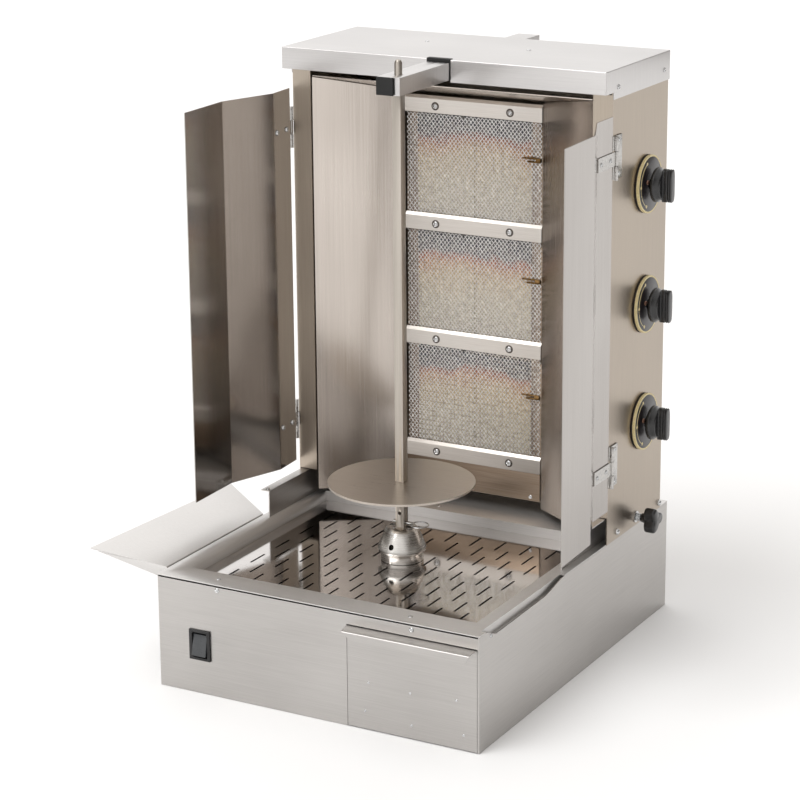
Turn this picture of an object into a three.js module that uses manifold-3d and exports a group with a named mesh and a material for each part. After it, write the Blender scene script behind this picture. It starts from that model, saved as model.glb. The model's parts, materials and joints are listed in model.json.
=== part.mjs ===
// Vertical rotisserie (gyros) grill: a sheet-steel base with a drip basin and a motor-driven
// spit, and a sliding burner column with a hood, two folding wind doors and three gas burners.
// Millimetres, +Z up, front towards -Y, origin at the middle of the base's underside.

import * as THREE from 'three';
import { mergeVertices } from 'three/addons/utils/BufferGeometryUtils.js';
import Module from 'manifold-3d';

const wasm = await Module();
wasm.setup();

// ---- Driving dimensions ------------------------------------------------------------------
const SHEET = 1.5; // folded stainless sheet
const GAP = 0.3; // assembly gap between touching pieces
const PAST = 1; // how far a cutting tool stands past the sheet it cuts

const BASE_W = 508;
const BASE_D = 622;
const DECK_Z = 167; // top of the base
const BASE_X = BASE_W / 2;
const BASE_Y = BASE_D / 2;

const BASIN_X = 228; // half width of the drip basin
const BASIN_FRONT = -268;
const BASIN_REAR = 112;
const PLATE_Z = 151.5; // top of the slotted plate in the basin
const SKIRT_X = 246; // the rim's folded-down edge beside the basin
const RELIEF_FRONT = -292; // dip in the side walls' top edge
const RELIEF_REAR = -50;
const SLOT_LENGTH = 38;
const SLOT_WIDTH = 3.4;
const SLOT_PITCH_X = 20.5;
const SLOT_PITCH_Y = 69;
const SLOT_COLUMNS = 9; // on each side of the middle one
const SLOT_LAST_Y = 50;
const HUB_CLEARANCE = 37; // no slot comes nearer to the spit's axis
const LEDGE_Z = 152; // top of the ledge outside the rim's folded-down edge

const SPIT_Y = -60; // the spit's axis is X = 0, Y = SPIT_Y
const SPIT_SIDE = 13;
const SPIT_FOOT = 152;
const SPIT_SHOULDER = 826;
const SPIT_TOP = 876;
const PIN_RADIUS = 5.5;
const DISC_RADIUS = 106;
const DISC_Z = 269;
const DISC_THICKNESS = 3;
const HUB_TOP = 201;
const LOCK_PIN_Z = 207;

const DRAWER_X0 = 53;
const DRAWER_X1 = 251;
const DRAWER_TOP = 147;
const DRAWER_BACK = 95;
const DRAWER_LIP = 24; // how far the handle lip stands out
const DRAWER_LIP_DROP = 12;
const DRAWER_DEPTH = 108; // top edge of the drawer's box

const SWITCH_X = -185;
const SWITCH_Z = 72.5;
const GLAND_X = -180;
const GLAND_Z = 40;
const GEARBOX_HALF = 45;
const GEARBOX_TOP = 92;

const COLUMN_X = 257.2; // half width over the column's side panels
const COLUMN_FRONT = 84;
const COLUMN_REAR = 275;
const COLUMN_FOOT = 168;
const COLUMN_TOP = 850;
const FLANGE = 30; // front flange of a side panel
const REAR_FLANGE = 14;
const FOOT_FRONT = -33; // front end of the feet that the column slides on
const FOOT_TOP = 208;
const FOOT_X0 = 240;
const FOOT_X1 = 254.2;

const HOOD_X = 259;
const HOOD_FRONT = 57;
const HOOD_REAR = 277;
const HOOD_TOP = 859;
const HOOD_SKIRT = 827;
const HOOD_SIDE_SKIRT = 817;

const BURNER_PITCH = 176.4;
const BURNER_MID_Z = 505.7;
const BURNER_X = 112.6;
const MESH_X = 111.5;
const BURNER_Y = 160; // front face of the bars that hold the burners
const BAR_HEIGHT = 21;
const CASING_DEPTH = 34;
const CEILING_REAR_Z = 790;
const CEILING_FRONT_Z = 816;
const APRON_Z = 188;

const KNOB_Y = 204;
const KNOB_PITCH = 177;
const KNOB_MID_Z = 500;
const DIAL_RADIUS = 42;
const KNOB_X = COLUMN_X + 15; // inner face of a gas knob
const INLET_X = 218; // gas inlet pipe through the back panel
const INLET_Z = 240;
const LOCK_Y = 185;
const LOCK_Z = 181;

const HINGE_X = 262.5;
const HINGE_Y = 86;
const HINGE_RADIUS = 3;
const HINGE_ROOM = 7.8; // the door's knuckle turns inside this radius
const KNUCKLE = 20.5;
const HINGE_LEVELS = [285, 735];
const DOOR_X = 259.5;
const DOOR_BOTTOM = 222;
const DOOR_TOP = 795;
const DOOR_BENDS = [[DOOR_X, 77], [DOOR_X, 25], [296, -61], [300, -161]];
const LEFT_DOOR_TURN = THREE.MathUtils.degToRad(3.8); // the left door stands a little further in

const ARM_X = 17.5;
const ARM_Z0 = 830;
const ARM_Z1 = 855;
const ARM_FRONT = -88;
const ARM_REAR = 345;
const ARM_WALL = 2;
const ARM_WINDOW = 9; // right edge of the opening in the arm's front end

// ---- Materials ---------------------------------------------------------------------------
const finish = {
  steel: [0xc4c2bf, 0.32, 1],
  mirror: [0xd2d0cd, 0.12, 1],
  chrome: [0xdedede, 0.08, 1],
  black: [0x151515, 0.45, 0],
  rubber: [0x0e0e0e, 0.7, 0],
  ceramic: [0xcdb28a, 0.85, 0],
  brass: [0xb48a45, 0.3, 1],
  grey: [0x77797c, 0.5, 0],
  castIron: [0x4a4c4f, 0.6, 0.5],
};

const oven = new THREE.Group();

function add(name, geometry, kind) {
  const [color, roughness, metalness] = finish[kind];
  const material = new THREE.MeshStandardMaterial({ color, roughness, metalness });
  const mesh = new THREE.Mesh(geometry, material);
  mesh.name = name;
  oven.add(mesh);
}

// ---- Solids ------------------------------------------------------------------------------
function toManifold(geometry) {
  const bare = geometry.clone();
  bare.deleteAttribute('normal');
  bare.deleteAttribute('uv');
  const merged = mergeVertices(bare, 1e-4);
  return new wasm.Manifold(new wasm.Mesh({
    numProp: 3,
    vertProperties: new Float32Array(merged.attributes.position.array),
    triVerts: new Uint32Array(merged.index.array),
  }));
}

function toGeometry(manifold) {
  const mesh = manifold.getMesh();
  const geometry = new THREE.BufferGeometry();
  const places = new Float32Array(mesh.vertProperties);
  geometry.setAttribute('position', new THREE.BufferAttribute(places, 3));
  geometry.setIndex(new THREE.BufferAttribute(new Uint32Array(mesh.triVerts), 1));
  return geometry;
}

function join(...geometries) {
  return toGeometry(geometries.map(toManifold).reduce((sum, next) => sum.add(next)));
}

function cut(geometry, ...tools) {
  const whole = toManifold(geometry);
  return toGeometry(tools.map(toManifold).reduce((rest, tool) => rest.subtract(tool), whole));
}

function block(x0, x1, y0, y1, z0, z1) {
  const geometry = new THREE.BoxGeometry(x1 - x0, y1 - y0, z1 - z0);
  return geometry.translate((x0 + x1) / 2, (y0 + y1) / 2, (z0 + z1) / 2);
}

function outline(points) {
  return new THREE.Shape(points.map(([a, b]) => new THREE.Vector2(a, b)));
}

function extruded(shape, depth) {
  return new THREE.ExtrudeGeometry(shape, { depth, bevelEnabled: false, curveSegments: 4 });
}

// A shape drawn in X and Y, standing from z0 to z1.
function prismZ(shape, z0, z1) {
  const geometry = extruded(shape, z1 - z0);
  return geometry.translate(0, 0, z0);
}

// A shape drawn in Y and Z, running from x0 to x1.
function prismX(shape, x0, x1) {
  const geometry = extruded(shape, x1 - x0);
  const turn = new THREE.Matrix4().set(0, 0, 1, x0, 1, 0, 0, 0, 0, 1, 0, 0, 0, 0, 0, 1);
  return geometry.applyMatrix4(turn);
}

function rodX(radius, x0, x1, y, z, sides = 20) {
  const geometry = new THREE.CylinderGeometry(radius, radius, x1 - x0, sides);
  return geometry.rotateZ(-Math.PI / 2).translate((x0 + x1) / 2, y, z);
}

function rodY(radius, y0, y1, x, z, sides = 20) {
  const geometry = new THREE.CylinderGeometry(radius, radius, y1 - y0, sides);
  return geometry.translate(x, (y0 + y1) / 2, z);
}

function rodZ(radius, z0, z1, x, y, sides = 24) {
  const geometry = new THREE.CylinderGeometry(radius, radius, z1 - z0, sides);
  return geometry.rotateX(Math.PI / 2).translate(x, y, (z0 + z1) / 2);
}

// A profile of [radius, height] points turned about the vertical axis through x, y.
function turned(profile, x, y, sides = 40) {
  const points = profile.map(([radius, height]) => new THREE.Vector2(radius, height));
  const geometry = new THREE.LatheGeometry(points, sides);
  return geometry.rotateX(Math.PI / 2).translate(x, y, 0);
}

// The left-hand copy of a right-hand piece.
function mirrored(geometry) {
  const copy = geometry.clone().applyMatrix4(new THREE.Matrix4().makeScale(-1, 1, 1));
  const order = copy.index.array;
  for (let i = 0; i < order.length; i += 3) {
    [order[i], order[i + 1]] = [order[i + 1], order[i]];
  }
  return copy;
}

// A bent sheet of constant thickness: its left side follows the bends in the X-Y plane.
function bentSheet(bends, thickness, z0, z1) {
  const offset = bends.map((point, i) => {
    const before = bends[Math.max(i - 1, 0)];
    const after = bends[Math.min(i + 1, bends.length - 1)];
    const into = new THREE.Vector2(point[0] - before[0], point[1] - before[1]);
    const out = new THREE.Vector2(after[0] - point[0], after[1] - point[1]);
    const first = (into.length() ? into : out).clone().normalize();
    const second = (out.length() ? out : into).clone().normalize();
    const along = first.clone().add(second).normalize();
    const reach = thickness / along.dot(first);
    return [point[0] - along.y * reach, point[1] + along.x * reach];
  });
  return prismZ(outline([...bends, ...offset.reverse()]), z0, z1);
}

// ---- Base --------------------------------------------------------------------------------
function buildBase() {
  const wallTop = DECK_Z - SHEET - GAP;
  const insideX = BASE_X - SHEET;
  const insideY = BASE_Y - SHEET;
  const shellWalls = cut(
    block(-BASE_X, BASE_X, -BASE_Y, BASE_Y, 0, wallTop),
    block(-insideX, insideX, -insideY, insideY, -PAST, DECK_Z),
  );
  const front0 = -BASE_Y - PAST;
  const front1 = -BASE_Y + SHEET + PAST;
  const shadowGap = block(-insideX, insideX, front0, front1, wallTop - 2, DECK_Z);
  const relief = outline([[RELIEF_FRONT, DECK_Z], [-262, 154], [-110, 156], [RELIEF_REAR, DECK_Z]]);
  const mouthX0 = DRAWER_X0 - 0.5;
  const mouthX1 = DRAWER_X1 + 0.5;
  const drawerMouth = block(mouthX0, mouthX1, front0, front1, -PAST, DRAWER_TOP + 1);
  const holeX = 14.5;
  const holeZ = 20.5;
  const switchHole = block(
    SWITCH_X - holeX, SWITCH_X + holeX, front0, front1, SWITCH_Z - holeZ, SWITCH_Z + holeZ,
  );
  const glandHole = rodY(8.4, insideY - PAST, BASE_Y + PAST, GLAND_X, GLAND_Z);
  add('base_shell', cut(
    shellWalls,
    shadowGap,
    prismX(relief, -BASE_X - PAST, BASE_X + PAST),
    drawerMouth,
    switchHole,
    glandHole,
  ), 'steel');

  const inner = SHEET + GAP;
  const floorX = BASE_X - inner;
  const floorY = BASE_Y - inner;
  add('base_floor', block(-floorX, floorX, -floorY + 2, floorY, 0, SHEET), 'steel');

  const flange = cut(
    block(-BASE_X, BASE_X, -BASE_Y, BASE_Y, DECK_Z - SHEET, DECK_Z),
    block(-BASIN_X, BASIN_X, BASIN_FRONT, BASIN_REAR, 0, DECK_Z + PAST),
  );
  const basinFloor = PLATE_Z - SHEET - GAP - SHEET;
  const wellX = BASIN_X + SHEET;
  const wellFront = BASIN_FRONT - SHEET;
  const wellRear = BASIN_REAR + SHEET;
  const rest = 8; // width of the turned-in edge that the plate lies on
  const well = cut(
    block(-wellX, wellX, wellFront, wellRear, basinFloor, DECK_Z - 0.5),
    block(-BASIN_X, BASIN_X, BASIN_FRONT, BASIN_REAR, basinFloor + SHEET, DECK_Z + PAST),
    block(-BASIN_X + rest, BASIN_X - rest, BASIN_FRONT + rest, BASIN_REAR - rest, 0, DECK_Z),
  );
  const skirtX = SKIRT_X + SHEET;
  const ledgeZ = LEDGE_Z - SHEET;
  const skirt = block(SKIRT_X, skirtX, -BASE_Y + 6, BASE_Y - 6, ledgeZ, DECK_Z - 0.5);
  const frame = join(flange, well, skirt, mirrored(skirt));
  const recess = block(skirtX, BASE_X + PAST, RELIEF_FRONT, RELIEF_REAR, DECK_Z - 5, DECK_Z + PAST);
  const ledge = block(SKIRT_X, floorX, RELIEF_FRONT - 6, RELIEF_REAR + 6, ledgeZ, LEDGE_Z);
  add('top_frame', join(cut(frame, recess), ledge), 'steel');

  add('slotted_plate', slottedPlate(), 'mirror');

  const gear0 = SPIT_Y - GEARBOX_HALF;
  const gear1 = SPIT_Y + GEARBOX_HALF;
  const housing = block(-GEARBOX_HALF, GEARBOX_HALF, gear0, gear1, SHEET + GAP, GEARBOX_TOP);
  const bossTop = GEARBOX_TOP + 20;
  const boss = rodZ(26, GEARBOX_TOP - PAST, bossTop, 0, SPIT_Y);
  const shaft = rodZ(12, bossTop - PAST, PLATE_Z - 13, 0, SPIT_Y);
  add('motor_gearbox', join(housing, boss, shaft), 'castIron');

  const thread = rodY(8, BASE_Y - 8, BASE_Y + 2, GLAND_X, GLAND_Z);
  const nut = rodY(12, BASE_Y + GAP, BASE_Y + 12, GLAND_X, GLAND_Z);
  const cableHole = rodY(4, BASE_Y - 8 - PAST, BASE_Y + 12 + PAST, GLAND_X, GLAND_Z, 12);
  add('cable_gland', cut(join(thread, nut), cableHole), 'black');
}

function slottedPlate() {
  const x = BASIN_X - GAP;
  const front = BASIN_FRONT + GAP;
  const rows = 6;
  const slots = [];
  for (let column = -SLOT_COLUMNS; column <= SLOT_COLUMNS; column += 1) {
    const slotX = column * SLOT_PITCH_X;
    const shift = column % 2 ? 0 : SLOT_PITCH_Y / 2;
    for (let row = 0; row < rows; row += 1) {
      const slotY = SLOT_LAST_Y - shift - row * SLOT_PITCH_Y;
      const inside = slotY - SLOT_LENGTH / 2 > front + 2;
      const reach = Math.max(Math.abs(slotY - SPIT_Y) - SLOT_LENGTH / 2, 0);
      if (inside && Math.hypot(slotX, reach) > HUB_CLEARANCE) {
        slots.push(slotOutline(slotX, slotY));
      }
    }
  }
  const sheet = block(-x, x, front, BASIN_REAR - GAP, PLATE_Z - SHEET, PLATE_Z);
  const below = PLATE_Z - SHEET - PAST;
  const above = PLATE_Z + PAST;
  return cut(sheet, prismZ(slots, below, above), rodZ(14, below, above, 0, SPIT_Y));
}

function slotOutline(x, y) {
  const side = SLOT_WIDTH / 2;
  const end = SLOT_LENGTH / 2;
  return outline([[x - side, y - end], [x - side, y + end], [x + side, y + end], [x + side, y - end]]);
}

// ---- Switch, drawer and side scoop ---------------------------------------------------------
function buildSwitch() {
  const face = -BASE_Y - GAP;
  const centred = (halfX, halfZ, y0, y1) => (
    block(SWITCH_X - halfX, SWITCH_X + halfX, y0, y1, SWITCH_Z - halfZ, SWITCH_Z + halfZ)
  );
  const body = centred(14, 20, face - 0.5, -BASE_Y + 24);
  const rim = centred(17, 22.5, face - 2.4, face);
  const pocket = centred(12, 18.4, face - 9, -BASE_Y + 16);
  add('switch_bezel', cut(join(body, rim), pocket), 'black');

  const rocker = outline([[-8.6, -15.4], [-5.4, 0], [-2, 15.4], [5, 13], [7, 0], [5, -13]].reverse());
  const paddleHalf = 11.4;
  const paddle = prismX(rocker, SWITCH_X - paddleHalf, SWITCH_X + paddleHalf);
  add('switch_rocker', paddle.translate(0, -BASE_Y + 2.4, SWITCH_Z), 'grey');
}

function buildDrawer() {
  const front = block(DRAWER_X0, DRAWER_X1, -BASE_Y, -BASE_Y + SHEET, 1, DRAWER_TOP);
  const lipY = -BASE_Y - DRAWER_LIP;
  const x0 = DRAWER_X0 + 4;
  const x1 = DRAWER_X1 - 4;
  const shelf = block(x0, DRAWER_X1, lipY, -BASE_Y + 1, DRAWER_TOP - SHEET, DRAWER_TOP);
  const lipFoot = DRAWER_TOP - DRAWER_LIP_DROP;
  const lipEnds = outline([
    [x0, DRAWER_TOP], [DRAWER_X1, DRAWER_TOP], [DRAWER_X1 - 5, lipFoot], [x0 + 16, lipFoot],
  ]);
  const lip = extruded(lipEnds, SHEET).rotateX(Math.PI / 2).translate(0, lipY + SHEET, 0);
  add('drawer_front', join(front, shelf, lip), 'steel');

  const y0 = -BASE_Y + SHEET + GAP;
  const foot = 3;
  add('drawer_box', cut(
    block(x0, x1, y0, DRAWER_BACK, foot, DRAWER_DEPTH),
    block(x0 + SHEET, x1 - SHEET, y0 + SHEET, DRAWER_BACK - SHEET, foot + SHEET, DRAWER_DEPTH + PAST),
  ), 'steel');
}

function buildScoop() {
  const slope = Math.atan2(18, 111);
  const front = -285;
  const rear = -28;
  const plan = outline([[0, front], [0, rear], [-94, 30], [-113, -312]]);
  const plate = prismZ(plan, 0, SHEET).rotateY(slope).translate(-BASE_X - 1.5, 0, DECK_Z);
  const hook = block(-BASE_X - 2.5, -BASE_X - 1, front, rear, DECK_Z - 20, DECK_Z + 0.8);
  const gusset = extruded(outline([[0, 0], [0, -18], [-104, 15]]), SHEET).rotateX(Math.PI / 2);
  gusset.rotateZ(Math.atan2(27, 113)).translate(-BASE_X - 1, front + 1, DECK_Z + 0.5);
  add('meat_scoop', join(plate, hook, gusset), 'steel');
}

// ---- Column ------------------------------------------------------------------------------
function sidePanel() {
  const flangeFoot = FOOT_TOP + 1;
  const flangeTop = HOOD_SKIRT - 4;
  const panel = block(COLUMN_X - SHEET, COLUMN_X, COLUMN_FRONT, COLUMN_REAR, COLUMN_FOOT, COLUMN_TOP);
  const front = block(
    COLUMN_X - FLANGE, COLUMN_X, COLUMN_FRONT, COLUMN_FRONT + SHEET, flangeFoot, flangeTop,
  );
  const rear = block(
    COLUMN_X - REAR_FLANGE, COLUMN_X, COLUMN_REAR - SHEET, COLUMN_REAR, flangeFoot, flangeTop,
  );
  const studHole = rodX(4.5, COLUMN_X - 5, COLUMN_X + 5, LOCK_Y, LOCK_Z, 16);
  return cut(join(panel, front, rear), studHole);
}

function knobHeights() {
  return [1, 0, -1].map((step) => KNOB_MID_Z + step * KNOB_PITCH);
}

function burnerHeights() {
  return [1, 0, -1].map((step) => BURNER_MID_Z + step * BURNER_PITCH);
}

function buildColumnPanels() {
  const spindleHoles = knobHeights().map((z) => rodX(6.5, COLUMN_X - 5, COLUMN_X + 5, KNOB_Y, z, 16));
  const right = sidePanel();
  add('column_side_right', cut(right, ...spindleHoles), 'steel');
  add('column_side_left', mirrored(right), 'steel');

  const backY = COLUMN_REAR - SHEET - GAP;
  const backX = COLUMN_X - 3;
  const footX = FOOT_X0 - 1;
  const back = block(-backX, backX, backY - SHEET, backY, FOOT_TOP + 1, HOOD_SKIRT - 4);
  const backFoot = block(-footX, footX, backY - SHEET, backY, COLUMN_FOOT, FOOT_TOP + 2);
  const inletHole = rodY(10, backY - 9, backY + 9, INLET_X, INLET_Z);
  add('column_back', cut(join(back, backFoot), inletHole), 'steel');

  const floorRear = backY - SHEET - GAP;
  const floor = block(-footX, footX, BURNER_Y + 3, floorRear, APRON_Z - SHEET, APRON_Z);
  add('column_floor', floor, 'steel');
  const apronTop = barHeights()[3] - BAR_HEIGHT / 2 - GAP;
  const apron = block(-BURNER_X, BURNER_X, BURNER_Y, BURNER_Y + SHEET, APRON_Z, apronTop);
  add('burner_apron', apron, 'steel');

  // A foot is an angle strip: an upright web with its top turned outwards.
  const web = block(FOOT_X0, FOOT_X0 + SHEET, FOOT_FRONT, COLUMN_REAR, DECK_Z + GAP, FOOT_TOP);
  const top = block(FOOT_X0, FOOT_X1, FOOT_FRONT, COLUMN_REAR, FOOT_TOP - SHEET, FOOT_TOP);
  const foot = join(web, top);
  add('column_foot_right', foot, 'steel');
  add('column_foot_left', mirrored(foot), 'steel');
}

// Everything above the sloping ceiling, used to trim the reflectors under it.
function aboveCeiling(lift) {
  const front = CEILING_FRONT_Z + lift;
  const rear = CEILING_REAR_Z + lift;
  const wide = COLUMN_X + 40;
  const over = HOOD_TOP + 40;
  return prismX(outline([
    [COLUMN_FRONT - 8, front], [BURNER_Y + 2, rear], [BURNER_Y + 20, rear],
    [BURNER_Y + 20, over], [COLUMN_FRONT - 14, over],
  ]), -wide, wide);
}

function buildFirebox() {
  const start = [COLUMN_X - FLANGE - 1, COLUMN_FRONT + SHEET + 1.5];
  const end = [BURNER_X + 2, BURNER_Y - 1];
  const sheet = bentSheet([start, end], -SHEET, APRON_Z - 10, COLUMN_TOP);
  const reflector = cut(sheet, aboveCeiling(-GAP));
  add('reflector_right', reflector, 'mirror');
  add('reflector_left', mirrored(reflector), 'mirror');

  const rise = CEILING_FRONT_Z - CEILING_REAR_Z;
  const ceiling = outline([
    [COLUMN_FRONT + 2, CEILING_FRONT_Z - rise * 0.1], [BURNER_Y + 2, CEILING_REAR_Z + 0.5],
    [BURNER_Y + 2, CEILING_REAR_Z + 2], [COLUMN_FRONT + 2, CEILING_FRONT_Z + 1.5 - rise * 0.1],
  ]);
  add('ceiling_deflector', prismX(ceiling, -COLUMN_X + 32, COLUMN_X - 32), 'steel');
}

function buildHood() {
  const shell = cut(
    block(-HOOD_X, HOOD_X, HOOD_FRONT, HOOD_REAR, HOOD_SKIRT, HOOD_TOP),
    block(-HOOD_X + SHEET, HOOD_X - SHEET, HOOD_FRONT + SHEET, HOOD_REAR - SHEET, 0, HOOD_TOP - SHEET),
  );
  const side = block(HOOD_X - SHEET, HOOD_X, COLUMN_FRONT, HOOD_REAR, HOOD_SIDE_SKIRT, HOOD_SKIRT + 1);
  const slotX = ARM_X + 1.2;
  const frontSlot = block(-slotX, slotX, HOOD_FRONT - 2, HOOD_FRONT + 9, HOOD_SKIRT - 5, HOOD_TOP + 1);
  const rearSlot = block(-slotX, slotX, HOOD_REAR - 5, HOOD_REAR + 5, HOOD_SKIRT - 5, ARM_Z1 + 1);
  add('hood', cut(join(shell, side, mirrored(side)), frontSlot, rearSlot), 'steel');

  const trimX = slotX - GAP;
  const trimOutside = block(
    -trimX, trimX, HOOD_FRONT - 1.5, HOOD_FRONT + 8, HOOD_SKIRT + 1, HOOD_TOP + 1,
  );
  const passage = block(-ARM_X - 0.4, ARM_X + 0.4, HOOD_FRONT - 5, HOOD_FRONT + 12, 0, ARM_Z1 + 0.6);
  add('slot_trim', cut(trimOutside, passage), 'rubber');
}

// ---- Burners -----------------------------------------------------------------------------
function barHeights() {
  return [1.5, 0.5, -0.5, -1.5].map((step) => BURNER_MID_Z + step * BURNER_PITCH);
}

function buildBurners() {
  const face = BURNER_Y + 6.2;
  const rear = face + CASING_DEPTH;
  const insideX = BURNER_X - SHEET;
  burnerHeights().forEach((z, i) => {
    const half = BURNER_PITCH / 2 - GAP;
    const insideZ = half - SHEET;
    const shell = block(-BURNER_X, BURNER_X, face, rear, z - half, z + half);
    const inside = block(-insideX, insideX, face + SHEET, rear - SHEET, z - insideZ, z + insideZ);
    const mouth = block(-94, 94, face - 1, face + 5, z - 78, z + 78);
    add(`burner_casing_${i + 1}`, cut(shell, inside, mouth), 'steel');

    const tiles = block(-96, 96, face + SHEET + GAP, face + 16, z - 80, z + 80);
    const seam = block(-0.6, 0.6, face, face + 4, z - 90, z + 90);
    add(`burner_ceramic_${i + 1}`, cut(tiles, seam), 'ceramic');

    const mesh = block(-MESH_X, MESH_X, face - 2.2, face - GAP, z - 77, z + 77);
    add(`burner_mesh_${i + 1}`, mesh, 'castIron');
  });

  const half = BAR_HEIGHT / 2;
  const profile = [
    [0, -half], [0, half], [3.7, half + 5], [3.7, half + 3.2], [SHEET, half - 0.6], [SHEET, -half],
  ];
  barHeights().forEach((z, i) => {
    const section = outline(profile.map(([y, up]) => [BURNER_Y + y, z + up]).reverse());
    add(`burner_bar_${i + 1}`, prismX(section, -BURNER_X, BURNER_X), 'steel');
  });
}

// ---- Gas fittings ------------------------------------------------------------------------
function gripLobes() {
  const shape = new THREE.Shape();
  const steps = 36;
  for (let i = 0; i < steps; i += 1) {
    const angle = (i / steps) * 2 * Math.PI;
    const radius = 15.5 + 5 * Math.cos(3 * angle);
    const point = [Math.cos(angle) * radius, Math.sin(angle) * radius];
    if (i) {
      shape.lineTo(...point);
    } else {
      shape.moveTo(...point);
    }
  }
  return shape;
}

function buildGas() {
  const pipeY = 226;
  const pipe = rodZ(8, INLET_Z - 8, 700, INLET_X, pipeY, 16);
  const inlet = rodY(7, pipeY, COLUMN_REAR + 16, INLET_X, INLET_Z, 16);
  add('gas_manifold', join(pipe, inlet), 'brass');

  knobHeights().forEach((z, i) => {
    const spindleEnd = 238;
    const body = block(spindleEnd - 33, spindleEnd - GAP, KNOB_Y - 12, pipeY - 8 - GAP, z - 12, z + 12);
    add(`gas_valve_${i + 1}`, body, 'brass');

    const dial = turned([
      [8, 0], [DIAL_RADIUS, 0], [DIAL_RADIUS, 2], [DIAL_RADIUS - 3, 6], [8, 6], [8, 0],
    ], 0, 0, 48);
    dial.rotateY(Math.PI / 2).translate(COLUMN_X + GAP, KNOB_Y, z);
    add(`dial_plate_${i + 1}`, dial, 'black');

    const grip = KNOB_X + 26;
    const skirt = turned([[0, 0], [25, 0], [25, 5], [21, 13], [0, 13]], 0, 0, 32);
    skirt.rotateY(Math.PI / 2).translate(KNOB_X, KNOB_Y, z);
    const bar = block(KNOB_X + 12, grip, KNOB_Y - 8, KNOB_Y + 8, z - 24, z + 24);
    const spindle = rodX(4.5, spindleEnd, KNOB_X + 1, KNOB_Y, z, 14);
    add(`gas_knob_${i + 1}`, join(skirt, bar, spindle), 'black');
  });

  const lobes = prismX(gripLobes(), COLUMN_X + 18, COLUMN_X + 36).translate(0, LOCK_Y, LOCK_Z);
  const neck = rodX(9, COLUMN_X + 10, COLUMN_X + 19, LOCK_Y, LOCK_Z, 20);
  const stud = rodX(4, FOOT_X0 + SHEET + GAP, COLUMN_X + 11, LOCK_Y, LOCK_Z, 16);
  add('lock_knob', join(lobes, neck, stud), 'black');
}

// ---- Wind doors --------------------------------------------------------------------------
function buildDoors() {
  const outside = DOOR_X + SHEET;
  const pieces = [bentSheet(DOOR_BENDS, SHEET, DOOR_BOTTOM, DOOR_TOP)];
  const knuckleHalf = KNUCKLE / 2 - GAP / 2;
  HINGE_LEVELS.forEach((z, i) => {
    pieces.push(block(outside - 0.2, outside + 1.8, 27, HINGE_Y, z - knuckleHalf, z + knuckleHalf));
    pieces.push(rodZ(HINGE_RADIUS, z - knuckleHalf, z + knuckleHalf, HINGE_X, HINGE_Y, 16));

    const leafX = COLUMN_X + GAP;
    const half = KNUCKLE * 1.5;
    const plate = block(leafX, leafX + 1.8, HINGE_Y - 1, HINGE_Y + 26, z - half, z + half);
    const barrel = rodZ(HINGE_RADIUS, z - half, z + half, HINGE_X, HINGE_Y, 16);
    const bridge = block(leafX, HINGE_X, HINGE_Y, HINGE_Y + HINGE_RADIUS, z - half, z + half);
    const room = KNUCKLE / 2 + GAP;
    const doorRoom = rodZ(HINGE_ROOM, z - room, z + room, HINGE_X, HINGE_Y, 16);
    const leaf = cut(join(plate, barrel, bridge), doorRoom);
    const level = i ? 'upper' : 'lower';
    add(`hinge_right_${level}`, leaf, 'steel');
    add(`hinge_left_${level}`, mirrored(leaf), 'steel');
  });
  const door = join(...pieces);
  add('door_right', door, 'mirror');
  const left = mirrored(door).translate(HINGE_X, -HINGE_Y, 0).rotateZ(LEFT_DOOR_TURN);
  add('door_left', left.translate(-HINGE_X, HINGE_Y, 0), 'mirror');
}

// ---- Spit and top arm ----------------------------------------------------------------------
function buildSpit() {
  const side = SPIT_SIDE / 2;
  const bar = block(-side, side, SPIT_Y - side, SPIT_Y + side, SPIT_FOOT, SPIT_SHOULDER);
  const pin = turned([
    [0, SPIT_SHOULDER - 1], [PIN_RADIUS, SPIT_SHOULDER - 1], [PIN_RADIUS, SPIT_TOP - 5],
    [PIN_RADIUS * 0.7, SPIT_TOP - 1.5], [0, SPIT_TOP],
  ], 0, SPIT_Y, 20);
  const stops = [222, 237].map((z) => rodY(2.8, SPIT_Y - 20, SPIT_Y + 20, 0, z, 12));
  const lockHole = rodX(3, -20, 20, SPIT_Y, LOCK_PIN_Z, 12);
  add('spit_bar', cut(join(bar, pin), lockHole, ...stops), 'steel');

  const square = side + GAP;
  const under = DISC_Z - DISC_THICKNESS;
  const disc = turned(
    [[0, under], [DISC_RADIUS, under], [DISC_RADIUS, DISC_Z], [0, DISC_Z]], 0, SPIT_Y, 72,
  );
  const eye = block(
    -square, square, SPIT_Y - square, SPIT_Y + square, under - PAST, DISC_Z + PAST,
  );
  add('meat_disc', cut(disc, eye), 'steel');

  const hub = turned([
    [0, PLATE_Z - 12], [12, PLATE_Z - 12], [12, PLATE_Z + 0.5], [31, PLATE_Z + 0.5],
    [31, 163], [35, 167], [35, 171], [24.5, 197], [21, HUB_TOP], [0, HUB_TOP],
  ], 0, SPIT_Y, 48);
  const socket = block(-square, square, SPIT_Y - square, SPIT_Y + square, SPIT_FOOT - GAP, HUB_TOP + 5);
  const fork = block(-18.5, 18.5, SPIT_Y - 4, SPIT_Y + 4, HUB_TOP - 7, HUB_TOP + 5);
  const sight = rodY(4, SPIT_Y - 50, SPIT_Y, 0, 178, 16);
  add('drive_hub', cut(hub, socket, fork, sight), 'chrome');

  const shank = rodX(2.6, -14, 17, SPIT_Y, LOCK_PIN_Z, 12);
  const ring = turned([[12, -1], [14, -1], [14, 1], [12, 1], [12, -1]], 29, SPIT_Y, 28);
  ring.translate(0, 0, LOCK_PIN_Z);
  add('lock_pin', join(shank, ring), 'chrome');
}

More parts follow.
